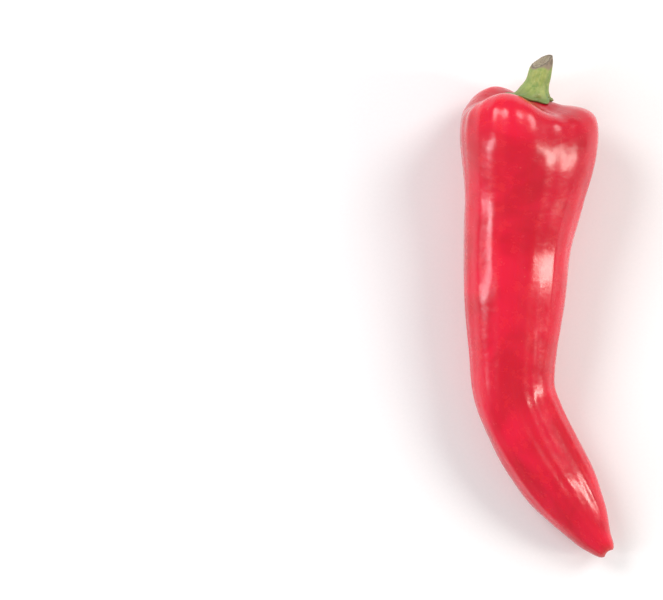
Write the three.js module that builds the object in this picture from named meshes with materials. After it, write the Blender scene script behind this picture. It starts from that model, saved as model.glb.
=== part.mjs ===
// Sweet pointed pepper, lying on its side.
// Millimetres, +Z up. +Y runs from the tip to the stem, +X is to the right when
// looked down on. The finished part stands on Z = 0 with its box centred on X and Y.
// Two bodies: the pod, and the stem that flares into the calyx capping it.
import * as THREE from 'three';

// ---- pod ------------------------------------------------------------------------

// Centre line from above the stem end to beyond the tip: x, y, z.
const CENTRE_LINE = [
  [-4.6, 87.6, 25.4],
  [-3.7, 71.6, 24.2],
  [-3.4, 57.6, 22.9],
  [-4.6, 41.6, 21.2],
  [-7, 23.6, 19.6],
  [-7.8, 3.6, 18.5],
  [-8.2, -16.4, 16.6],
  [-7.9, -32.4, 15],
  [-3.7, -44.4, 14.1],
  [2.9, -56.4, 13.5],
  [10.6, -68.4, 12.5],
  [18, -79.4, 11.1],
  [23.8, -88.2, 9.8],
  [30.4, -96, 8.4],
];

// Half outline from the middle of the stem hollow, over the crest, down to the tip.
// at: distance down the centre line; r: half width; flat: half height over half width;
// furrow: how strongly the lobes show in the section; crest: share of the lobe heights.
const OUTLINE = [
  { at: 9.8, r: 0, flat: 0.9, furrow: 0, crest: 0 },
  { at: 9.6, r: 4.5, flat: 0.9, furrow: 0.02, crest: 0.06 },
  { at: 9, r: 9, flat: 0.9, furrow: 0.06, crest: 0.3 },
  { at: 7.6, r: 13, flat: 0.9, furrow: 0.12, crest: 0.75 },
  { at: 6.8, r: 17, flat: 0.9, furrow: 0.17, crest: 1 },
  { at: 8.2, r: 21, flat: 0.9, furrow: 0.2, crest: 0.95 },
  { at: 11.4, r: 24, flat: 0.9, furrow: 0.21, crest: 0.75 },
  { at: 16.5, r: 25.4, flat: 0.91, furrow: 0.21, crest: 0.4 },
  { at: 24, r: 25.8, flat: 0.92, furrow: 0.2, crest: 0.1 },
  { at: 34, r: 24.6, flat: 0.93, furrow: 0.17, crest: 0 },
  { at: 47, r: 22.3, flat: 0.94, furrow: 0.13, crest: 0 },
  { at: 64, r: 20.5, flat: 0.94, furrow: 0.1, crest: 0 },
  { at: 84, r: 19.3, flat: 0.94, furrow: 0.08, crest: 0 },
  { at: 104, r: 17, flat: 0.94, furrow: 0.08, crest: 0 },
  { at: 121, r: 15.7, flat: 0.93, furrow: 0.11, crest: 0 },
  { at: 134, r: 15.3, flat: 0.93, furrow: 0.13, crest: 0 },
  { at: 148, r: 14.8, flat: 0.92, furrow: 0.13, crest: 0 },
  { at: 162, r: 13.4, flat: 0.9, furrow: 0.12, crest: 0 },
  { at: 174, r: 10.8, flat: 0.88, furrow: 0.1, crest: 0 },
  { at: 183, r: 7.9, flat: 0.86, furrow: 0.06, crest: 0 },
  { at: 189.4, r: 5.2, flat: 0.84, furrow: 0, crest: 0 },
  { at: 193, r: 2.5, flat: 0.84, furrow: 0, crest: 0 },
  { at: 192, r: 0, flat: 0.84, furrow: 0, crest: 0 },
];

// Three lobes, and the notch on each side of the right-hand one: angle round the section
// (0 = right, 90 = up), how far each stands out, how high its crest rises beside the
// stem, and how narrow it is.
const LOBES = [
  { angle: 115, out: 1, rise: 7.2, sharpness: 3 },
  { angle: 236, out: 1, rise: 9.6, sharpness: 3 },
  { angle: 356, out: 1, rise: 0.9, sharpness: 3 },
  { angle: 60, out: -0.3, rise: -3.2, sharpness: 6 },
  { angle: 304, out: -0.2, rise: -2.6, sharpness: 6 },
];
const LOBE_MEAN = 0.62;        // level taken off so that lobing keeps the mean width
const LOBE_TWIST = 14;         // degrees the lobes turn between stem and tip
const CREST_MEAN = 6.4;        // rise that leaves the outline's own crest where it is
const CREST_ROW = 4;           // outline row of the crest
const SEAT_OFFSET = 3;         // the stem's hollow lies this far right of the centre line

// Dents and swellings: distance down, angle, spread along, spread round (deg), height.
const DENTS = [
  { at: 110, angle: 20, along: 8, round: 30, height: -0.6 },
  { at: 92, angle: 60, along: 11, round: 26, height: -0.7 },
  { at: 58, angle: 92, along: 16, round: 24, height: -0.6 },
  { at: 40, angle: 148, along: 12, round: 22, height: 0.4 },
  { at: 128, angle: 120, along: 12, round: 30, height: 0.7 },
  { at: 146, angle: 66, along: 10, round: 26, height: -0.7 },
  { at: 72, angle: 200, along: 18, round: 30, height: -0.6 },
  { at: 118, angle: 205, along: 12, round: 28, height: -0.5 },
  { at: 84, angle: 320, along: 16, round: 26, height: -0.7 },
  { at: 160, angle: 190, along: 9, round: 26, height: 0.4 },
];

const TIP_NUB = 1.1;           // how far the two nubs of the blossom end stand past the notch
const TIP_NUB_START = 188;     // distance down where they begin

const POD_ROWS_PER_STEP = 2;
const POD_COLUMNS = 60;
const POD_COLOUR = 0xdf1530;

// ---- stem and calyx ---------------------------------------------------------------

const STEM_LINE = [
  [-1.2, 77.8, 24.9],
  [-0.3, 81.6, 25.4],
  [0.6, 84.6, 26],
  [1.4, 87.6, 26.8],
  [2, 90.6, 27.8],
  [2.4, 93.6, 29],
  [2.8, 97.6, 30.6],
];
// Height up the stem line against radius, from the calyx flare to the cut.
const STEM_OUTLINE = [
  [2.2, 8.4],
  [3.2, 6.8],
  [4.6, 5.5],
  [6, 4.8],
  [7.6, 4.4],
  [9.4, 4.2],
  [12.4, 4],
  [15.4, 3.9],
];
const STEM_RIBS = 5;
const STEM_RIB_DEPTH = 0.05;   // share of the radius
const CUT_HEIGHT = 15.6;       // middle of the cut face up the stem line
const CUT_NORMAL = [-0.46, 0.76, 0.46];
const CUT_SINK = 0.7;          // the dried pith lies below the cut's edge
const CALYX_REACH = 1.85;      // rim position, in steps of the pod outline from its middle
const CALYX_TEETH = 6;
const CALYX_TOOTH = 0.16;      // share by which the teeth reach past the rim
const CALYX_LEAN = 165;        // side, in degrees, on which the teeth are longest
const CALYX_RIM = 1.5;         // thickness at the rim
const CALYX_ROLL = 0.1;        // share by which the rim's rounded edge bulges
const SEAT_GAP = 0.45;         // clearance to the pod, along the stem
const SEAT_END = 0.2;          // shares of the rows given to the seat, the rim,
const RIM_END = 0.28;          // the calyx with the shaft, and what is left to the cut
const SHAFT_END = 0.82;
const STEM_ROWS = 38;
const STEM_COLUMNS = 44;
const STEM_COLOUR = 0x8f9d5c;

// ---- helpers ----------------------------------------------------------------------

const rad = THREE.MathUtils.degToRad;
const UP = new THREE.Vector3(0, 0, 1);

const curveThrough = (points) =>
  new THREE.CatmullRomCurve3(points.map((p) => new THREE.Vector3(...p)), false, 'catmullrom', 0.5);

// Smooth value of one column of a table at a fractional row.
function rowValue(rows, key, at) {
  const last = rows.length - 1;
  const i = Math.min(Math.floor(at), last - 1);
  const t = at - i;
  const [a, b, c, d] = [i - 1, i, i + 1, i + 2].map((k) => rows[THREE.MathUtils.clamp(k, 0, last)][key]);
  return b + 0.5 * t * (c - a + t * (2 * a - 5 * b + 4 * c - d + t * (3 * (b - c) + d - a)));
}

// Point on a line and the direction it runs in, at a distance along it.
function alongLine(line, distance) {
  const u = THREE.MathUtils.clamp(distance / line.getLength(), 0, 1);
  return { origin: line.getPointAt(u), ahead: line.getTangentAt(u) };
}

// Closed body from rows of points: the first and last row are single points.
function closedBody(rows, columns, pointAt) {
  const positions = [];
  const indices = [];
  const push = (p) => positions.push(p.x, p.y, p.z);
  push(pointAt(0, 0));
  for (let i = 1; i < rows; i++) {
    for (let j = 0; j < columns; j++) push(pointAt(i / rows, (2 * Math.PI * j) / columns));
  }
  push(pointAt(1, 0));
  const end = positions.length / 3 - 1;
  const at = (i, j) => 1 + (i - 1) * columns + (j % columns);
  for (let j = 0; j < columns; j++) {
    indices.push(0, at(1, j), at(1, j + 1));
    for (let i = 1; i < rows - 1; i++) {
      indices.push(at(i, j), at(i + 1, j), at(i + 1, j + 1));
      indices.push(at(i, j), at(i + 1, j + 1), at(i, j + 1));
    }
    indices.push(at(rows - 1, j), end, at(rows - 1, j + 1));
  }
  const geometry = new THREE.BufferGeometry();
  geometry.setAttribute('position', new THREE.Float32BufferAttribute(positions, 3));
  geometry.setIndex(indices);
  return geometry;
}

// ---- pod surface --------------------------------------------------------------------

const podLine = curveThrough(CENTRE_LINE);
podLine.arcLengthDivisions = 400;

// Strength of a lobe at an angle: 1 on its ridge, falling smoothly to both sides.
const lobeAt = (angle, lobe, distance) =>
  Math.exp(lobe.sharpness * (Math.cos(angle - rad(lobe.angle + (LOBE_TWIST * distance) / 190)) - 1));

// step: place on the outline counted in its rows; angle: round the section.
function podPoint(step, angle) {
  const column = (key) => rowValue(OUTLINE, key, step);
  const at = column('at');
  const lobing = LOBES.reduce((sum, lobe) => sum + lobe.out * lobeAt(angle, lobe, at), 0);
  const rising = LOBES.reduce((sum, lobe) => sum + lobe.rise * lobeAt(angle, lobe, at), 0);
  const nub = TIP_NUB * Math.cos(angle) ** 2 * THREE.MathUtils.smoothstep(at, TIP_NUB_START, TIP_NUB_START + 4)
    * Math.min(1, column('r') / 2);

  let radius = column('r') * (1 + column('furrow') * (lobing - LOBE_MEAN));
  const fade = Math.min(1, column('r') / 10);
  for (const dent of DENTS) {
    const along = (at - dent.at) / dent.along;
    const round = Math.atan2(Math.sin(angle - rad(dent.angle)), Math.cos(angle - rad(dent.angle))) / rad(dent.round);
    radius += fade * dent.height * Math.exp(-along * along - round * round);
  }

  const { origin, ahead } = alongLine(podLine, at - column('crest') * (rising - CREST_MEAN) + nub);
  const side = new THREE.Vector3().crossVectors(UP, ahead).normalize();
  const up = new THREE.Vector3().crossVectors(ahead, side);
  const offset = SEAT_OFFSET * (1 - THREE.MathUtils.smoothstep(step, 0, CREST_ROW));
  return origin
    .addScaledVector(side, offset + radius * Math.cos(angle))
    .addScaledVector(up, radius * column('flat') * Math.sin(angle));
}

// The pod's own weight flattens its underside where it lies on the ground.
function restingPodPoint(step, angle) {
  const p = podPoint(step, angle);
  p.z = Math.max(p.z, 0);
  return p;
}

// ---- stem and calyx surface ---------------------------------------------------------

const stemLine = curveThrough(STEM_LINE);
const stemFoot = stemLine.getTangentAt(0);
const cutNormal = new THREE.Vector3(...CUT_NORMAL).normalize();
const [topHeight, topRadius] = STEM_OUTLINE[STEM_OUTLINE.length - 1];

const ribbing = (angle) => 1 + STEM_RIB_DEPTH * Math.cos(STEM_RIBS * angle + 0.6);

// Direction out of the stem line at an angle round it.
function outward(ahead, angle) {
  const side = new THREE.Vector3().crossVectors(ahead, UP).normalize();
  const up = new THREE.Vector3().crossVectors(side, ahead);
  return side.multiplyScalar(Math.cos(angle)).addScaledVector(up, Math.sin(angle));
}

// The calyx lies on the pod: share 0 is its middle and 1 its toothed rim.
function calyxPoint(share, angle, lift) {
  const turn = angle - rad(CALYX_LEAN);
  const tooth = CALYX_TOOTH * (Math.cos(CALYX_TEETH * turn) + 0.5 * Math.cos(turn));
  return podPoint(CALYX_REACH * share * (1 + tooth * share), angle).addScaledVector(stemFoot, lift);
}

function shaftPoint(height, radius, angle) {
  const { origin, ahead } = alongLine(stemLine, height);
  return origin.addScaledVector(outward(ahead, angle), radius * ribbing(angle));
}

// Height at which the slanting cut meets the shaft.
function cutHeight(angle) {
  const { ahead } = alongLine(stemLine, CUT_HEIGHT);
  return CUT_HEIGHT - (topRadius * cutNormal.dot(outward(ahead, angle))) / cutNormal.dot(ahead);
}

// v runs over the seat, round the rim, up the flare and the shaft, and in over the cut.
function stemPoint(v, angle) {
  if (v <= SEAT_END) return calyxPoint(v / SEAT_END, angle, SEAT_GAP);
  if (v < RIM_END) {
    const t = (v - SEAT_END) / (RIM_END - SEAT_END);
    return calyxPoint(1 + CALYX_ROLL * Math.sin(Math.PI * t), angle, SEAT_GAP + CALYX_RIM * t);
  }
  if (v <= SHAFT_END) {
    const t = (v - RIM_END) / (SHAFT_END - RIM_END);
    const step = t * (STEM_OUTLINE.length - 1);
    const height = rowValue(STEM_OUTLINE, 0, step) + (cutHeight(angle) - topHeight) * t ** 3;
    const onShaft = shaftPoint(height, rowValue(STEM_OUTLINE, 1, step), angle);
    const onCalyx = calyxPoint(1 - 0.35 * Math.min(1, t * 3), angle, SEAT_GAP + CALYX_RIM * (1 + 2 * t));
    return onCalyx.lerp(onShaft, THREE.MathUtils.smoothstep(t, 0, 0.3));
  }
  const t = (v - SHAFT_END) / (1 - SHAFT_END);
  const edge = shaftPoint(cutHeight(angle), topRadius, angle);
  const rounding = 0.25 * Math.sin(Math.PI * Math.min(1, 2 * t));
  const sink = CUT_SINK * THREE.MathUtils.smoothstep(t, 0.15, 0.8);
  return edge.lerp(alongLine(stemLine, CUT_HEIGHT).origin, t).addScaledVector(cutNormal, rounding - sink);
}

// ---- the part -----------------------------------------------------------------------------

function piece(name, geometry, colour, roughness) {
  geometry.computeVertexNormals();
  const mesh = new THREE.Mesh(geometry, new THREE.MeshStandardMaterial({ color: colour, roughness, metalness: 0 }));
  mesh.name = name;
  return mesh;
}

const steps = OUTLINE.length - 1;
const pod = closedBody(steps * POD_ROWS_PER_STEP, POD_COLUMNS, (v, angle) => restingPodPoint(v * steps, -angle));
const stem = closedBody(STEM_ROWS, STEM_COLUMNS, stemPoint);

// Centre the box on X and Y; Z already starts at the ground.
const box = new THREE.Box3();
for (const geometry of [pod, stem]) {
  geometry.computeBoundingBox();
  box.union(geometry.boundingBox);
}
const centre = box.getCenter(new THREE.Vector3());
for (const geometry of [pod, stem]) geometry.translate(-centre.x, -centre.y, 0);

const pepper = new THREE.Group();
pepper.name = 'sweet_pointed_pepper';
pepper.add(piece('pod', pod, POD_COLOUR, 0.3));
pepper.add(piece('stem_with_calyx', stem, STEM_COLOUR, 0.7));

export default pepper;
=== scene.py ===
# %% [markdown]
# # A sweet pointed pepper
#
# A sweet pointed pepper is one grown pod with a green stem. Its skin is thin, waxy and
# drawn tight over soft lobes, so nearly all of its look is in two things: how the broad
# shapes bend the reflections, and how the red varies under the wax. Both pieces are
# surfaces worked out as whole numpy arrays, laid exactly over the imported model.

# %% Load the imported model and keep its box
import math
import bpy
import numpy as np
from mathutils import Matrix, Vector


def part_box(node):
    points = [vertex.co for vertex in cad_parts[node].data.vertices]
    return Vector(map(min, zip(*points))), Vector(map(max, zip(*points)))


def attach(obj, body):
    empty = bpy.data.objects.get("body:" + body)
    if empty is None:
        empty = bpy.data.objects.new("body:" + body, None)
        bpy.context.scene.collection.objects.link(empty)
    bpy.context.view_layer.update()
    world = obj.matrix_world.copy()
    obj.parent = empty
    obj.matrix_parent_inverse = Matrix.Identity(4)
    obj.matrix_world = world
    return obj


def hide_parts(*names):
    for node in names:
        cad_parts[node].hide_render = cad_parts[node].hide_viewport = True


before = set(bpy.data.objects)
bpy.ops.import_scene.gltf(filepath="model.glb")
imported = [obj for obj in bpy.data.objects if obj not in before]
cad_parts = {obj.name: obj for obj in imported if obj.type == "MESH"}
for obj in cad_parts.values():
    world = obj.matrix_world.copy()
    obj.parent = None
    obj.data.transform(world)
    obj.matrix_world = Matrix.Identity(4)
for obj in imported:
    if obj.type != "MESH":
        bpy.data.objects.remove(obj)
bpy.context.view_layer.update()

MM = 0.001

# %% [markdown]
# ## The two kinds of curve
#
# A pepper has no straight line and no circle, so every size along it is a smooth curve
# through a few listed stations. One helper runs a curve through the rows of a
# table; another turns such a curve into a path that is read by distance, which keeps
# the stations' sizes where they were measured even where the path bends.

# %% Smooth curves through a table's rows
def through(rows, at, carry_on=False):
    """Catmull-Rom: between rows b and c the value leaves b along half of (c - a) and
    reaches c along half of (d - b). Past the ends the last row is repeated, or the last
    step is repeated when the curve should carry on."""
    rows = np.asarray(rows, float)
    first, last = (2 * rows[0] - rows[1], 2 * rows[-1] - rows[-2]) if carry_on else (rows[0], rows[-1])
    padded = np.concatenate([first[None], rows, last[None]])
    i = np.clip(np.floor(at).astype(int), 0, len(rows) - 2)
    t = (at - i)[..., None]
    a, b, c, d = (padded[i + k] for k in range(4))
    return b + 0.5 * t * (c - a + t * (2 * a - 5 * b + 4 * c - d + t * (3 * (b - c) + d - a)))


def path_reader(points, samples=600):
    """Returns a function that gives, at any distance along the curve through the points,
    the place on it and its direction: the curve is sampled finely, the chords are summed
    to a distance, and both are read back by linear interpolation."""
    fine = through(points, np.linspace(0, len(points) - 1, samples), carry_on=True)
    steps = np.linalg.norm(np.diff(fine, axis=0), axis=1)
    run = np.concatenate([[0], np.cumsum(steps)])
    slope = np.gradient(fine, run, axis=0)
    slope /= np.linalg.norm(slope, axis=1, keepdims=True)

    def read(distance):
        place = np.stack([np.interp(distance, run, fine[:, k]) for k in range(3)], -1)
        ahead = np.stack([np.interp(distance, run, slope[:, k]) for k in range(3)], -1)
        return place, ahead / np.linalg.norm(ahead, axis=-1, keepdims=True)

    print("path of", len(points), "stations,", round(run[-1], 1), "mm long")
    return read


def ease(low, high, x):
    """0 below low, 1 above high, and the S-curve 3t^2 - 2t^3 between."""
    t = np.clip((x - low) / (high - low), 0, 1)
    return t * t * (3 - 2 * t)

# %% [markdown]
# ## The pod's broad shape
#
# The pod lies on its side and bends once towards the right. Its section is a circle
# pulled into three lobes that are strongest at the shoulder and turn a little on their
# way to the tip. A lathe could not bend, and sculpting could not be repeated, so the
# surface is a half outline carried along the bent centre line, in millimetres:
# how far down the line, how wide, how flat, how lobed, and how much of the lobes' extra
# height each station takes.

# %% Stations of the pod
CENTRE_LINE = [
    (-4.6, 87.6, 25.4), (-3.7, 71.6, 24.2), (-3.4, 57.6, 22.9), (-4.6, 41.6, 21.2),
    (-7.0, 23.6, 19.6), (-7.8, 3.6, 18.5), (-8.2, -16.4, 16.6), (-7.9, -32.4, 15.0),
    (-3.7, -44.4, 14.1), (2.9, -56.4, 13.5), (10.6, -68.4, 12.5), (18.0, -79.4, 11.1),
    (23.8, -88.2, 9.8), (30.4, -96.0, 8.4),
]
OUTLINE = [  # down the line, half width, height over width, lobing, share of crest height
    (9.8, 0, 0.9, 0, 0), (9.6, 4.5, 0.9, 0.02, 0.06), (9, 9, 0.9, 0.06, 0.3),
    (7.6, 13, 0.9, 0.12, 0.75), (6.8, 17, 0.9, 0.17, 1), (8.2, 21, 0.9, 0.2, 0.95),
    (11.4, 24, 0.9, 0.21, 0.75), (16.5, 25.4, 0.91, 0.21, 0.4), (24, 25.8, 0.92, 0.2, 0.1),
    (34, 24.6, 0.93, 0.17, 0), (47, 22.3, 0.94, 0.13, 0), (64, 20.5, 0.94, 0.1, 0),
    (84, 19.3, 0.94, 0.08, 0), (104, 17, 0.94, 0.08, 0), (121, 15.7, 0.93, 0.11, 0),
    (134, 15.3, 0.93, 0.13, 0), (148, 14.8, 0.92, 0.13, 0), (162, 13.4, 0.9, 0.12, 0),
    (174, 10.8, 0.88, 0.1, 0), (183, 7.9, 0.86, 0.06, 0), (189.4, 5.2, 0.84, 0, 0),
    (193, 2.5, 0.84, 0, 0), (192, 0, 0.84, 0, 0),
]
LOBES = [  # degrees, stands out, rises beside the stem, sharpness; the last two are notches
    (115, 1, 7.2, 3), (236, 1, 9.6, 3), (356, 1, 0.9, 3),
    (60, -0.3, -3.2, 6), (304, -0.2, -2.6, 6),
]
LOBE_MEAN, CREST_MEAN = 0.62, 6.4
LOBE_TWIST_PER_MM = math.radians(14) / 190
CREST_ROW, SEAT_OFFSET = 4, 3
DENTS = [  # down the line, degrees round, reach along, reach round, height
    (110, 20, 8, 30, -0.6), (92, 60, 11, 26, -0.7), (58, 92, 16, 24, -0.6),
    (40, 148, 12, 22, 0.4), (128, 120, 12, 30, 0.7), (146, 66, 10, 26, -0.7),
    (72, 200, 18, 30, -0.6), (118, 205, 12, 28, -0.5), (84, 320, 16, 26, -0.7),
    (160, 190, 9, 26, 0.4),
]
TIP_NUB, TIP_NUB_START = 1.1, 188
pod_path = path_reader(CENTRE_LINE)

# %% [markdown]
# ## The pod's small relief
#
# What makes a pepper's skin read as skin is that its reflections wander. Real skin has
# faint lengthwise ripples, puckers that run out of the hollow, folds on the inside of
# the bend, and shallow dimples where the wall is thin. They are well under a millimetre
# high, so they are added to the radius as formulas, with the dimples strewn by a seeded
# random draw so that the pepper comes out the same each time.

# %% Ripples, puckers, folds and dimples
rng = np.random.default_rng(27)
DIMPLES = 110
dimple_at = rng.uniform(14, 186, DIMPLES)
dimple_round = rng.uniform(0, 2 * math.pi, DIMPLES)
dimple_reach = rng.uniform(2.8, 7.5, DIMPLES)
dimple_height = rng.normal(0, 0.14, DIMPLES) * np.where(dimple_at > 115, 1.9, 1.0)


def round_gap(angle, centre):
    """Shortest turn from the centre angle to each angle, in radians."""
    return (angle - centre + math.pi) % (2 * math.pi) - math.pi


def small_relief(at, angle, radius):
    """Millimetres added to the radius: slow sine ripples round the section whose phase
    drifts along the pod, sharper puckers near the hollow, short waves across the inside
    of the bend, and a bell-shaped dimple or swelling at each drawn place."""
    ripples = sum(0.05 * np.sin(k * angle + 0.045 * at * w + k)
                  for k, w in ((7, 1.0), (11, -0.7), (16, 1.3), (23, -0.4)))
    puckers = 0.13 * np.sin(19 * angle + 2 * np.sin(3 * angle)) * ease(30, 6, at) * ease(8, 17, radius)
    folds = (0.06 * np.sin(0.5 * at + 2.4 * np.sin(0.23 * at) + 2.6 * angle)
             * np.exp(-((at - 112) / 10) ** 2 - (round_gap(angle, 0.3) / 0.6) ** 2))
    tip_folds = 0.1 * np.sin(13 * angle) * ease(176, 188, at)
    bells = np.zeros_like(at)
    for where, turn, reach, height in zip(dimple_at, dimple_round, dimple_reach, dimple_height):
        across = round_gap(angle, turn) * np.maximum(radius, 3)
        bells += height * np.exp(-(((at - where) / (1.5 * reach)) ** 2) - (across / reach) ** 2)
    return (ripples + puckers + folds + tip_folds + bells) * ease(9, 14, radius)

# %% [markdown]
# ## The pod's surface
#
# One function gives the pod's surface for the whole grid at once, with the small relief
# or without it. The plain version is also the seat that the calyx is laid on later.

# %% The pod as a function of two parameters
def pod_surface(step, angle, relief=0.0):
    """Point of the pod. step runs over the outline's rows and angle round the section:
    the half width is swelled by the lobes and the dents, then set off sideways and
    upwards from the centre line. Returns the points and what they were made of."""
    at, wide, flat, lobing_share, crest_share = np.moveaxis(through(OUTLINE, step), -1, 0)
    lobing = rising = 0
    for degrees, out, rise, sharpness in LOBES:
        ridge = np.exp(sharpness * (np.cos(angle - math.radians(degrees) - LOBE_TWIST_PER_MM * at) - 1))
        lobing, rising = lobing + out * ridge, rising + rise * ridge
    radius = wide * (1 + lobing_share * (lobing - LOBE_MEAN))
    for where, degrees, reach, turn, height in DENTS:
        across = round_gap(angle, math.radians(degrees)) / math.radians(turn)
        bell = ((at - where) / reach) ** 2 + across ** 2
        radius = radius + np.minimum(1, wide / 10) * height * np.exp(-bell)
    radius = radius + relief * small_relief(at, angle, wide)
    nubs = TIP_NUB * np.cos(angle) ** 2 * ease(TIP_NUB_START, TIP_NUB_START + 4, at) * np.minimum(1, wide / 2)
    place, ahead = pod_path(at - crest_share * (rising - CREST_MEAN) + nubs)
    side = np.cross([0, 0, 1], ahead)
    side /= np.linalg.norm(side, axis=-1, keepdims=True)
    up = np.cross(ahead, side)
    offset = SEAT_OFFSET * (1 - ease(0, CREST_ROW, step))
    points = (place + side * (offset + radius * np.cos(angle))[..., None]
              + up * (radius * flat * np.sin(angle))[..., None])
    return points, {"at": at, "wide": wide, "lobing": lobing, "share": lobing_share}


ROWS, COLUMNS = 330, 240
steps, angles = np.meshgrid(np.linspace(0, len(OUTLINE) - 1, ROWS),
                            np.linspace(0, 2 * math.pi, COLUMNS, endpoint=False), indexing="ij")
pod_points, pod_facts = pod_surface(steps, angles, relief=1.0)

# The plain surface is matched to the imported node's box, and the same move serves both pieces.
plain_points, _ = pod_surface(steps, angles)
low, high = (np.array(corner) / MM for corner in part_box("pod"))
PLACE = (low + high - plain_points.min((0, 1)) - plain_points.max((0, 1))) / 2 * [1, 1, 0]
print("the pod's surface is moved by", PLACE.round(2), "mm to lie over the packed one")

# %% [markdown]
# ## Resting on the ground
#
# A pepper is heavy enough to flatten the skin it lies on. A hard cut would show as an
# edge in the reflection, so heights near the ground are rounded off instead, and the
# skin runs smoothly into two flat patches under the shoulder and the lower body.

# %% Flatten the underside smoothly
CONTACT_ROUNDING = 0.35  # mm


def rest_on_ground(points):
    """Replaces each height z by (z + sqrt(z^2 + c^2)) / 2, which follows z above the
    ground and levels out at it."""
    rested = points + PLACE
    z = rested[..., 2]
    rested[..., 2] = 0.5 * (z + np.sqrt(z * z + CONTACT_ROUNDING ** 2))
    return rested


pod_points = rest_on_ground(pod_points)
heights = pod_points[..., 2]
print("lowest skin:", round(float(heights.min()), 3), "mm; highest:", round(float(heights.max()), 2), "mm")

# %% [markdown]
# ## From a grid to a closed mesh
#
# Both pieces are grids whose first and last rows shrink to one point. The mesh keeps one
# vertex for each of those poles, joins the last column to the first so that no seam is
# open, and carries the facts that the materials need as attributes on its points.

# %% Build a mesh from a grid of points
def closed_piece(name, grid, attributes, flip=False):
    """Vertices are pole, inner rows, pole. Quads join each row to the next, the columns
    wrap round, and a fan of triangles closes each pole."""
    rows, columns, _ = grid.shape

    def unpoled(values):
        return np.concatenate([values[:1, 0], values[1:-1].reshape(-1, *values.shape[2:]), values[-1:, 0]])

    vertices = unpoled(grid) * MM
    ring = 1 + np.arange((rows - 2) * columns).reshape(rows - 2, columns)
    ahead = np.roll(ring, -1, axis=1)
    quads = np.stack([ring[:-1], ring[1:], ahead[1:], ahead[:-1]], -1).reshape(-1, 4)
    end = len(vertices) - 1
    start_fan = np.stack([np.zeros(columns, int), ring[0], ahead[0]], -1)
    end_fan = np.stack([ring[-1], np.full(columns, end), ahead[-1]], -1)
    if flip:
        quads, start_fan, end_fan = quads[:, ::-1], start_fan[:, ::-1], end_fan[:, ::-1]
    mesh = bpy.data.meshes.new(name)
    mesh.from_pydata(vertices, [], start_fan.tolist() + quads.tolist() + end_fan.tolist())
    for label, values in attributes.items():
        values = unpoled(values).astype(np.float32)
        kind, slot = ("FLOAT_VECTOR", "vector") if values.ndim == 2 else ("FLOAT", "value")
        mesh.attributes.new(label, kind, "POINT").data.foreach_set(slot, values.ravel())
    mesh.polygons.foreach_set("use_smooth", np.ones(len(mesh.polygons), bool))
    mesh.update()
    piece = bpy.data.objects.new(name, mesh)
    bpy.context.scene.collection.objects.link(piece)
    print(name, "has", len(vertices), "points and", 2 * len(quads) + 2 * columns, "triangles")
    return piece


def unrolled(angle, along, radius):
    """A seamless coordinate that follows the skin: a ring of that radius for the turn,
    and the distance along for the length, in metres."""
    return np.stack([radius * np.cos(angle), radius * np.sin(angle), along], -1) * MM


# Painted shade: furrow marks where the red skin is darkened between the lobes.
furrow = np.clip((0.95 - pod_facts["lobing"]) / 0.5, 0, 1) * np.clip(pod_facts["share"] / 0.2, 0, 1)
# Painted shade and roughness: hollow darkens the red round the stem and also dulls the wax there.
hollow = (1 - ease(7, 19, pod_facts["wide"])) * (pod_facts["at"] < 60)
tip = ease(184, 192.5, pod_facts["at"]) * (1 - ease(1.0, 6.0, pod_facts["wide"]))
pod_skin = closed_piece("pod_skin", pod_points, {
    "unrolled": unrolled(angles, pod_facts["at"], 18), "furrow": furrow, "hollow": hollow, "tip": tip,
}, flip=True)

# %% [markdown]
# ## The calyx and the stem
#
# The green calyx sits in the hollow like a small collar with a toothed edge, and narrows
# without a joint into a ribbed stem that was cut at a slant and has dried. It is one
# surface: a seat that follows the pod just clear of it, a rolled rim, a flare that
# blends into a ribbed shaft on its own leaning line, and a cut face whose pith has sunk.

# %% Stations of the stem
STEM_LINE = [(-1.2, 77.8, 24.9), (-0.3, 81.6, 25.4), (0.6, 84.6, 26), (1.4, 87.6, 26.8),
             (2, 90.6, 27.8), (2.4, 93.6, 29), (2.8, 97.6, 30.6)]
STEM_OUTLINE = [(2.2, 8.4), (3.2, 6.8), (4.6, 5.5), (6, 4.8), (7.6, 4.4), (9.4, 4.2), (12.4, 4), (15.4, 3.9)]
CUT_HEIGHT, CUT_SINK, WORN_EDGE = 15.6, 0.7, 0.1
CUT_NORMAL = np.array([-0.46, 0.76, 0.46]) / np.linalg.norm([-0.46, 0.76, 0.46])
CALYX_REACH, CALYX_RIM, CALYX_ROLL = 1.85, 1.3, 0.08
CALYX_TEETH, CALYX_TOOTH, CALYX_LEAN = 6, 0.16, math.radians(165)  # longest teeth on one side
SEAT_GAP = 0.2
SEAT_END, RIM_END, SHAFT_END = 0.2, 0.28, 0.82
stem_path = path_reader(STEM_LINE)
stem_foot = stem_path(np.array(0.0))[1]

# %% [markdown]
# ## The stem's surface
#
# A real stem does not stop where the calyx starts: its ribs run down into the teeth.
# Building the two as one surface, in four stretches that each begin where the last one
# ended, gives that run without any seam to hide.

# %% The stem as a function of two parameters
def outward(ahead, angle):
    """Unit direction out of the stem line at an angle round it."""
    side = np.cross(ahead, [0, 0, 1])
    side /= np.linalg.norm(side, axis=-1, keepdims=True)
    return side * np.cos(angle)[..., None] + np.cross(side, ahead) * np.sin(angle)[..., None]


def ribs(height, angle):
    """Share of the radius: five soft ribs, a fine fluting on them, and a slight
    thickening towards the cut."""
    return (1 + 0.05 * np.cos(5 * angle + 0.6) + 0.012 * np.sin(17 * angle + 0.2 * height)
            + 0.008 * np.sin(31 * angle) + 0.05 * ease(7, 11, height))


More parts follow.
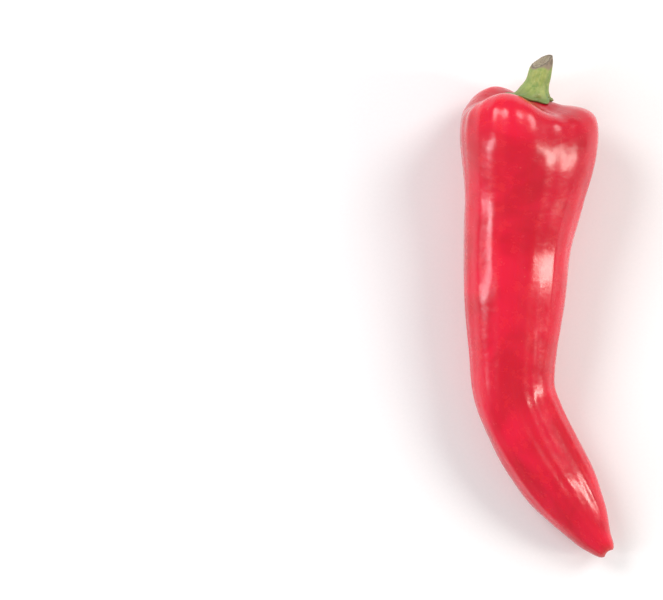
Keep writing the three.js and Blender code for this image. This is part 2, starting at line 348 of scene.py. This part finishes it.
def calyx_point(share, angle, lift):
    """Point over the pod's hollow: share 0 is the middle, 1 the toothed rim, and lift
    stands it off along the stem."""
    turn = angle - CALYX_LEAN
    tooth = CALYX_TOOTH * (np.cos(CALYX_TEETH * turn) + 0.5 * np.cos(turn))
    points, _ = pod_surface(CALYX_REACH * share * (1 + tooth * share), angle)
    return points + stem_foot * np.asarray(lift)[..., None]


def shaft_point(height, radius, angle):
    """Point of the shaft: the stem line's place at that height, plus the outward
    direction times the radius swelled by the ribs."""
    place, ahead = stem_path(height)
    return place + outward(ahead, angle) * (radius * ribs(height, angle))[..., None]


def stem_surface(v, angle):
    """v runs over the seat, round the rim, up the flare and shaft, and in over the cut.
    The flare is the calyx surface faded into the shaft surface by an S-curve."""
    top_height, top_radius = STEM_OUTLINE[-1]
    cut_place, cut_ahead = stem_path(np.full_like(v, CUT_HEIGHT))
    cut_height = CUT_HEIGHT - top_radius * (outward(cut_ahead, angle) @ CUT_NORMAL) / (cut_ahead @ CUT_NORMAL)

    seat = calyx_point(np.minimum(v / SEAT_END, 1), angle, np.full_like(v, SEAT_GAP))
    turn = np.clip((v - SEAT_END) / (RIM_END - SEAT_END), 0, 1)
    rim = calyx_point(1 + CALYX_ROLL * np.sin(math.pi * turn), angle, SEAT_GAP + CALYX_RIM * turn)

    climb = np.clip((v - RIM_END) / (SHAFT_END - RIM_END), 0, 1)
    height, radius = np.moveaxis(through(STEM_OUTLINE, climb * (len(STEM_OUTLINE) - 1)), -1, 0)
    height = height + (cut_height - top_height) * climb ** 3
    on_calyx = calyx_point(1 - 0.35 * np.minimum(1, climb * 3), angle, SEAT_GAP + CALYX_RIM * (1 + 2 * climb))
    blend = ease(0, 0.3, climb)[..., None]
    worn = 1 - WORN_EDGE * ease(0.9, 1, climb)
    flare = on_calyx * (1 - blend) + shaft_point(height, radius * worn, angle) * blend

    inward = np.clip((v - SHAFT_END) / (1 - SHAFT_END), 0, 1)
    edge = shaft_point(cut_height, np.full_like(v, top_radius * (1 - WORN_EDGE)), angle)
    crumbs = 0.12 * np.sin(9 * angle + 14 * inward) * np.sin(23 * inward + 4 * angle)
    crumbs = crumbs * ease(0, 0.2, inward) * ease(1, 0.8, inward)
    sink = 0.25 * np.sin(math.pi * np.minimum(1, 2 * inward)) - CUT_SINK * ease(0.15, 0.8, inward) + crumbs
    cut = edge + (cut_place - edge) * inward[..., None] + CUT_NORMAL * sink[..., None]

    stretches = [v <= SEAT_END, v < RIM_END, v <= SHAFT_END]
    points = np.select([here[..., None] for here in stretches], [seat, rim, flare], cut)
    along = np.select(stretches, [-2, turn - 1, height], cut_height + 1 + 3 * inward)
    return points, {"along": along, "climb": climb, "inward": inward}


STEM_ROWS, STEM_COLUMNS = 220, 168
v, turns = np.meshgrid(np.linspace(0, 1, STEM_ROWS),
                       np.linspace(0, 2 * math.pi, STEM_COLUMNS, endpoint=False), indexing="ij")
stem_points, stem_facts = stem_surface(v, turns)
dry = ease(0.8, 1.0, stem_facts["climb"] + 0.06 * np.sin(turns + 2.2) + 0.03 * np.sin(3 * turns))
cut_face = ease(0.0, 0.12, stem_facts["inward"])
calyx_rim = 1 - ease(0.02, 0.36, stem_facts["climb"])
ridge = 0.5 + 0.5 * np.cos(5 * turns + 0.6)
stem_and_calyx = closed_piece("stem_and_calyx", stem_points + PLACE, {
    "unrolled": unrolled(turns, stem_facts["along"], 5), "dry": dry, "cut_face": cut_face,
    "calyx_rim": calyx_rim, "ridge": ridge, "inward": stem_facts["inward"],
})

# %% [markdown]
# ## Tying the pieces to the imported model
#
# Each piece stands for one node and rides on the only body.

# %% Replace the nodes
for piece, node, slot in ((pod_skin, "pod", "red_skin"), (stem_and_calyx, "stem_with_calyx", "green_stem")):
    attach(piece, "root")
    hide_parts(node)
    gap = np.abs(np.array([piece.bound_box[0], piece.bound_box[6]]) - np.array(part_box(node))).max() / MM
    print(piece.name, "differs from", node, "by at most", round(float(gap), 2), "mm at its box")

# %% [markdown]
# ## Building materials in code
#
# A helper adds a node and fills its inputs by name: a number or colour is set, a socket
# is linked. It keeps each material readable as a list of what lies over what.

# %% Helpers for shader nodes
def add(tree, kind, inputs=None, **settings):
    """Adds a node of that kind, sets its own options, then sets or links each input."""
    node = tree.nodes.new(kind)
    for key, value in settings.items():
        setattr(node, key, value)
    for key, value in (inputs or {}).items():
        if isinstance(value, bpy.types.NodeSocket):
            tree.links.new(value, node.inputs[key])
        else:
            node.inputs[key].default_value = value
    return node


def combine(tree, operation, first, second):
    """One sum, product or comparison of two values."""
    return add(tree, "ShaderNodeMath", {0: first, 1: second}, operation=operation).outputs[0]


def plus(tree, first, second):
    """Two values added."""
    return combine(tree, "ADD", first, second)


def times(tree, value, share):
    """A value scaled by a share, or masked by another value."""
    return combine(tree, "MULTIPLY", value, share)


def over(tree, factor, below, above):
    """One colour laid over another by a factor."""
    node = add(tree, "ShaderNodeMix", data_type="RGBA")
    for socket, value in ((node.inputs["Factor"], factor), (node.inputs[6], below), (node.inputs[7], above)):
        if isinstance(value, bpy.types.NodeSocket):
            tree.links.new(value, socket)
        else:
            socket.default_value = value
    return node.outputs[2]


def fact(tree, name, share=1.0):
    """A value that was stored on the mesh's points, times a share."""
    return times(tree, add(tree, "ShaderNodeAttribute", attribute_name=name).outputs["Fac"], share)


def skin_place(tree):
    """The coordinate that was stored on the mesh's points and follows its skin."""
    return add(tree, "ShaderNodeAttribute", attribute_name="unrolled").outputs["Vector"]


def spread(tree, value, low, high, to_low=0.0, to_high=1.0):
    """Maps a value's range onto another, clamped and eased."""
    ends = {"From Min": low, "From Max": high, "To Min": to_low, "To Max": to_high}
    node = add(tree, "ShaderNodeMapRange", {"Value": value, **ends}, interpolation_type="SMOOTHSTEP")
    return node.outputs["Result"]


def noise(tree, vector, scale, detail=3.0, roughness=0.5, distortion=0.0):
    """Cloudy noise with that many waves to the metre."""
    looks = {"Scale": scale, "Detail": detail, "Roughness": roughness, "Distortion": distortion}
    return add(tree, "ShaderNodeTexNoise", {"Vector": vector, **looks}).outputs["Fac"]

# %% [markdown]
# ## Two effects that both skins share
#
# The pod and the stem are made of the same kind of tissue: cells in long rows, which
# show as lengthwise fibres, and small corky dots. Each effect is one node group, made
# once and placed in both materials with its own sizes.

# %% Node groups: lengthwise fibres and corky dots
def new_group(name, inputs, outputs):
    """An empty node group with those named value inputs beside its Vector, and those
    value outputs. Returns the group, the sockets it is given, and its output node."""
    group = bpy.data.node_groups.new(name, "ShaderNodeTree")
    group.interface.new_socket("Vector", in_out="INPUT", socket_type="NodeSocketVector")
    for label, value in inputs.items():
        socket = group.interface.new_socket(label, in_out="INPUT", socket_type="NodeSocketFloat")
        socket.default_value = value
    for label in outputs:
        group.interface.new_socket(label, in_out="OUTPUT", socket_type="NodeSocketFloat")
    return group, group.nodes.new("NodeGroupInput").outputs, group.nodes.new("NodeGroupOutput")


def lengthwise_fibres():
    """Noise squeezed round the section and stretched along it, fine and broad together.
    Streak keeps only the crests of the broad one."""
    group, given, result = new_group(
        "lengthwise_fibres", {"Fineness": 900.0, "Stretch": 0.06, "Waver": 0.4}, ["Height", "Streak"])
    stretch = add(group, "ShaderNodeCombineXYZ", {"X": 1.0, "Y": 1.0, "Z": given["Stretch"]}).outputs[0]
    drawn = add(group, "ShaderNodeVectorMath", {0: given["Vector"], 1: stretch}, operation="MULTIPLY")
    drawn = drawn.outputs[0]
    fine = noise(group, drawn, given["Fineness"], 2.0, 0.6, given["Waver"])
    broad = noise(group, drawn, times(group, given["Fineness"], 0.16), 3.0, 0.55, given["Waver"])
    height = plus(group, times(group, fine, 0.4), times(group, broad, 0.6))
    group.links.new(height, result.inputs["Height"])
    group.links.new(spread(group, broad, 0.42, 0.72), result.inputs["Streak"])
    return group


def corky_dots():
    """One soft round dot in some of the cells of a scattered pattern: a cell has a dot
    where its random number is under the share."""
    group, given, result = new_group(
        "corky_dots", {"Spacing": 300.0, "Size": 0.16, "Share": 0.4}, ["Mask"])
    cells = add(group, "ShaderNodeTexVoronoi", {"Vector": given["Vector"], "Scale": given["Spacing"]})
    number = add(group, "ShaderNodeSeparateColor", {"Color": cells.outputs["Color"]}).outputs["Red"]
    chosen = combine(group, "LESS_THAN", number, given["Share"])
    dot = spread(group, cells.outputs["Distance"], given["Size"], 0.0)
    group.links.new(times(group, dot, chosen), result.inputs["Mask"])
    return group


def place_group(tree, group, vector, **values):
    """Places a group in a material and sets its sizes; returns its output sockets."""
    node = add(tree, "ShaderNodeGroup", node_tree=group)
    tree.links.new(vector, node.inputs["Vector"])
    for label, value in values.items():
        node.inputs[label].default_value = value
    return node.outputs


FIBRES, DOTS = lengthwise_fibres(), corky_dots()
print("node groups:", FIBRES.name, "and", DOTS.name)

# %% [markdown]
# ## The red skin
#
# Ripe skin is a clear layer of wax over red flesh. The flesh scatters light, so the red
# stays deep where it turns away; the wax gives a second, sharper reflection. The red
# itself is uneven: brighter and a little orange in clouds, with a few pale pores and a
# scuff or two. Shade is painted in as well: the red is darkened in the furrows and the
# hollow round the stem.

# %% Colour of the pod
def new_material(name):
    """A material with one shader; returns it, its node tree and the shader."""
    material = bpy.data.materials.new(name)
    material.use_nodes = True
    tree = material.node_tree
    tree.nodes.clear()
    shader = tree.nodes.new("ShaderNodeBsdfPrincipled")
    tree.links.new(shader.outputs["BSDF"], add(tree, "ShaderNodeOutputMaterial").inputs["Surface"])
    return material, tree, shader


DEEP_RED, CLEAR_RED, ORANGE_RED = (0.6, 0.002, 0.022, 1), (0.76, 0.004, 0.037, 1), (0.85, 0.018, 0.024, 1)
# The dark red is painted shade for the furrows and the hollow; PORE and SCUFF are the skin's own marks.
PAINTED_SHADE_RED, PORE, SCUFF = (0.3, 0.004, 0.01, 1), (0.86, 0.2, 0.12, 1), (0.33, 0.12, 0.05, 1)

red_skin, tree, shader = new_material("waxy_red_skin")
skin = skin_place(tree)
clouds = noise(tree, skin, 42, 3, 0.55, 0.6)
mottle = noise(tree, skin, 260, 4, 0.6)
fibre = place_group(tree, FIBRES, skin, Fineness=1500, Stretch=0.05, Waver=0.5)
pores = place_group(tree, DOTS, skin, Spacing=380, Size=0.15, Share=0.22)["Mask"]
scuffs = place_group(tree, DOTS, skin, Spacing=60, Size=0.09, Share=0.09)["Mask"]

colour = over(tree, spread(tree, clouds, 0.32, 0.62), DEEP_RED, CLEAR_RED)
layers = [
    (times(tree, spread(tree, mottle, 0.52, 0.75), 0.35), ORANGE_RED),
    (times(tree, fibre["Streak"], 0.16), ORANGE_RED),
    # Painted shade: the red is darkened in the furrows between the lobes.
    (fact(tree, "furrow", 0.38), PAINTED_SHADE_RED),
    # Painted shade: the red is darkened in the hollow round the stem.
    (fact(tree, "hollow", 0.55), PAINTED_SHADE_RED),
    (times(tree, pores, 0.34), PORE),
    (times(tree, scuffs, 0.5), SCUFF),
    (fact(tree, "tip", 0.4), SCUFF),
]
for share, laid_over in layers:
    colour = over(tree, share, colour, laid_over)
tree.links.new(colour, shader.inputs["Base Color"])
print(red_skin.name, "lays", len(layers), "effects over its clouds")

# %% [markdown]
# ## The wax on the red skin
#
# The wax is what makes the pod shine, and it is never even. It is thicker in clouds,
# rubbed off at the scuffs and dusty in the hollow. Under it the skin is faintly wavy,
# which breaks the edges of the reflections, and as finely pitted as an orange's peel.

# %% Wax and fine relief of the pod
dull = plus(tree, spread(tree, mottle, 0.3, 0.8, 0.2, 0.32), times(tree, scuffs, 0.3))
dull = plus(tree, dull, fact(tree, "hollow", 0.15))
tree.links.new(dull, shader.inputs["Roughness"])
wax = spread(tree, noise(tree, skin, 95, 3, 0.6), 0.3, 0.7, 0.25, 0.5)
tree.links.new(wax, shader.inputs["Coat Weight"])

peel = noise(tree, skin, 700, 3, 0.5)
waves = noise(tree, skin, 190, 2, 0.5, 0.3)
height = plus(tree, times(tree, peel, 0.35), times(tree, fibre["Height"], 0.3))
height = plus(tree, height, times(tree, waves, 5.0))
height = combine(tree, "SUBTRACT", height, times(tree, scuffs, 0.6))
bump = add(tree, "ShaderNodeBump", {"Height": height, "Strength": 0.07, "Distance": 0.0006})
tree.links.new(bump.outputs["Normal"], shader.inputs["Normal"])
for socket, value in {
    "Subsurface Weight": 0.22, "Subsurface Radius": (1.0, 0.12, 0.08), "Subsurface Scale": 0.004,
    "Coat Roughness": 0.12, "Coat IOR": 1.42, "Specular IOR Level": 0.36,
}.items():
    shader.inputs[socket].default_value = value
pod_skin.data.materials.append(red_skin)
print(red_skin.name, "uses", len(tree.nodes), "nodes")

# %% [markdown]
# ## The green stem
#
# The stem is matt and fibrous. It is yellow-green on its ribs, deeper green in the flare,
# greyer at the calyx's rim, and dries to a grey-brown towards the slanting cut, where the
# dead edge is darkest and the pith in the middle is pale and crumbly.

# %% Living green of the stem and calyx
YELLOW_GREEN, LEAF_GREEN, DULL_GREEN = (0.37, 0.43, 0.12, 1), (0.17, 0.28, 0.055, 1), (0.12, 0.19, 0.06, 1)
DRY_BROWN, DEAD_EDGE = (0.29, 0.235, 0.165, 1), (0.1, 0.08, 0.06, 1)
PITH, CORK = (0.43, 0.37, 0.27, 1), (0.62, 0.62, 0.42, 1)

green_stem, tree, shader = new_material("fibrous_green_stem")
skin = skin_place(tree)
fibre = place_group(tree, FIBRES, skin, Fineness=2600, Stretch=0.12, Waver=0.7)
corks = place_group(tree, DOTS, skin, Spacing=700, Size=0.22, Share=0.3)["Mask"]
patches = noise(tree, skin, 330, 4, 0.6, 0.4)

colour = over(tree, spread(tree, patches, 0.35, 0.65), LEAF_GREEN, YELLOW_GREEN)
layers = [
    (fact(tree, "ridge", 0.35), YELLOW_GREEN),
    (fact(tree, "calyx_rim", 0.7), DULL_GREEN),
    (times(tree, fibre["Streak"], 0.3), LEAF_GREEN),
    (times(tree, corks, 0.55), CORK),
]
for share, laid_over in layers:
    colour = over(tree, share, colour, laid_over)
print(green_stem.name, "lays", len(layers), "effects over its patches")

# %% [markdown]
# ## The dried end of the stem
#
# A cut stem dries from its end. The drying runs further down some fibres than others,
# so its edge is ragged. On the cut itself the rind is darkest, and the pith inside it
# turns to grey and brown blotches.

# %% Drying, roughness and relief of the stem
ragged = times(tree, combine(tree, "SUBTRACT", patches, 0.5), 1.1)
drying = plus(tree, fact(tree, "dry"), ragged)
colour = over(tree, spread(tree, drying, 0.35, 0.85), colour, DRY_BROWN)
colour = over(tree, spread(tree, drying, 0.85, 1.15, 0.0, 0.75), colour, DEAD_EDGE)
blotches = noise(tree, skin, 620, 4, 0.75, 0.6)
pith = over(tree, spread(tree, blotches, 0.36, 0.6), PITH, DRY_BROWN)
pith = over(tree, spread(tree, blotches, 0.56, 0.7, 0.0, 0.8), pith, DEAD_EDGE)
rind = combine(tree, "SUBTRACT", times(tree, blotches, 0.5), fact(tree, "inward"))
pith = over(tree, spread(tree, rind, -0.05, 0.2, 0.0, 0.8), pith, DEAD_EDGE)
colour = over(tree, fact(tree, "cut_face"), colour, pith)
tree.links.new(colour, shader.inputs["Base Color"])
tree.links.new(spread(tree, drying, 0.2, 0.9, 0.46, 0.85), shader.inputs["Roughness"])

height = plus(tree, fibre["Height"], times(tree, corks, 0.35))
height = plus(tree, height, times(tree, noise(tree, skin, 2400, 3, 0.7), 0.5))
bump = add(tree, "ShaderNodeBump", {"Height": height, "Strength": 0.45, "Distance": 0.0005})
tree.links.new(bump.outputs["Normal"], shader.inputs["Normal"])
for socket, value in {
    "Subsurface Weight": 0.08, "Subsurface Radius": (0.5, 1.0, 0.2), "Subsurface Scale": 0.002,
}.items():
    shader.inputs[socket].default_value = value
stem_and_calyx.data.materials.append(green_stem)
print(green_stem.name, "uses", len(tree.nodes), "nodes")

# %% [markdown]
# ## The ground
#
# The pepper lies on a plain pale ground, large enough that no edge of it is ever seen.
# A faint grain keeps it from looking like an empty page.

# %% Floor
FLOOR_HALF = 3.0  # metres
floor_mesh = bpy.data.meshes.new("floor")
corners = [(x * FLOOR_HALF, y * FLOOR_HALF, 0) for x, y in ((-1, -1), (1, -1), (1, 1), (-1, 1))]
floor_mesh.from_pydata(corners, [], [(0, 1, 2, 3)])
floor = bpy.data.objects.new("floor", floor_mesh)
bpy.context.scene.collection.objects.link(floor)
paper, tree, shader = new_material("pale_floor")
floor_space = add(tree, "ShaderNodeTexCoord").outputs["Object"]
grain = noise(tree, floor_space, 900, 2, 0.5)
tree.links.new(over(tree, grain, (0.86, 0.855, 0.86, 1), (0.9, 0.895, 0.9, 1)), shader.inputs["Base Color"])
tree.links.new(spread(tree, grain, 0.2, 0.8, 0.6, 0.8), shader.inputs["Roughness"])
floor_mesh.materials.append(paper)

# %% [markdown]
# ## The light
#
# A glossy thing shows its lights, so these are shaped for their reflections: a tall soft
# oval, a little cool, on the left and a smaller, warmer one on the right. Two weak ones
# high up and an even bright sky keep the shadow soft.

# %% Lights
AIM_HEIGHT = 0.02  # metres, at the pepper's middle


def window(name, place, size, power, colour):
    """An oval area light of that width and height, in metres, turned to face the pepper:
    tilted by the angle between straight down and the line to the pepper."""
    lamp = bpy.data.lights.new(name, "AREA")
    lamp.shape, lamp.size, lamp.size_y = "ELLIPSE", *size
    lamp.energy, lamp.color = power, colour
    thing = bpy.data.objects.new(name, lamp)
    direction = np.array([0, 0, AIM_HEIGHT]) - np.array(place)
    direction /= np.linalg.norm(direction)
    thing.location = place
    thing.rotation_euler = (math.acos(-direction[2]), 0, math.atan2(direction[0], -direction[1]) + math.pi)
    bpy.context.scene.collection.objects.link(thing)


window("left_window", (-0.82, -0.15, 0.5), (0.13, 0.75), 2.9, (0.92, 0.95, 1.0))
window("right_window", (0.74, -0.12, 0.42), (0.1, 0.55), 2.5, (1.0, 0.93, 0.84))
window("high_left", (-1.1, 0.9, 1.3), (0.9, 0.9), 15.0, (1.0, 0.98, 0.97))
window("high_right", (1.1, 0.8, 1.3), (0.9, 0.9), 15.0, (1.0, 0.98, 0.97))
world = bpy.data.worlds.new("soft_sky")
bpy.context.scene.world = world
world.use_nodes = True
world.node_tree.nodes["Background"].inputs["Color"].default_value = (1, 0.99, 0.985, 1)
world.node_tree.nodes["Background"].inputs["Strength"].default_value = 0.44

# %% [markdown]
# ## The camera
#
# The view is from straight above with a long lens, so that the pepper's outline is the
# one that its stations describe. The pepper lies right of the middle of the picture.

# %% Camera
CAMERA_HEIGHT = 1.2              # metres, as all places here
PICTURE_WIDTH = 0.2519           # metres of ground across the picture, at the pepper's middle
PEPPER_RIGHT_OF_CENTRE, PEPPER_BELOW_CENTRE = 0.0786, 0.0031
PEPPER_MIDDLE_HEIGHT = 0.022
camera_data = bpy.data.cameras.new("overhead")
camera_data.sensor_width = 36
camera_data.lens = camera_data.sensor_width * (CAMERA_HEIGHT - PEPPER_MIDDLE_HEIGHT) / PICTURE_WIDTH
camera = bpy.data.objects.new("overhead", camera_data)
camera.location = (-PEPPER_RIGHT_OF_CENTRE, PEPPER_BELOW_CENTRE, CAMERA_HEIGHT)
bpy.context.scene.collection.objects.link(camera)
bpy.context.scene.camera = camera
bpy.context.scene.view_settings.view_transform = "Standard"
print("lens:", round(camera_data.lens, 1), "mm")
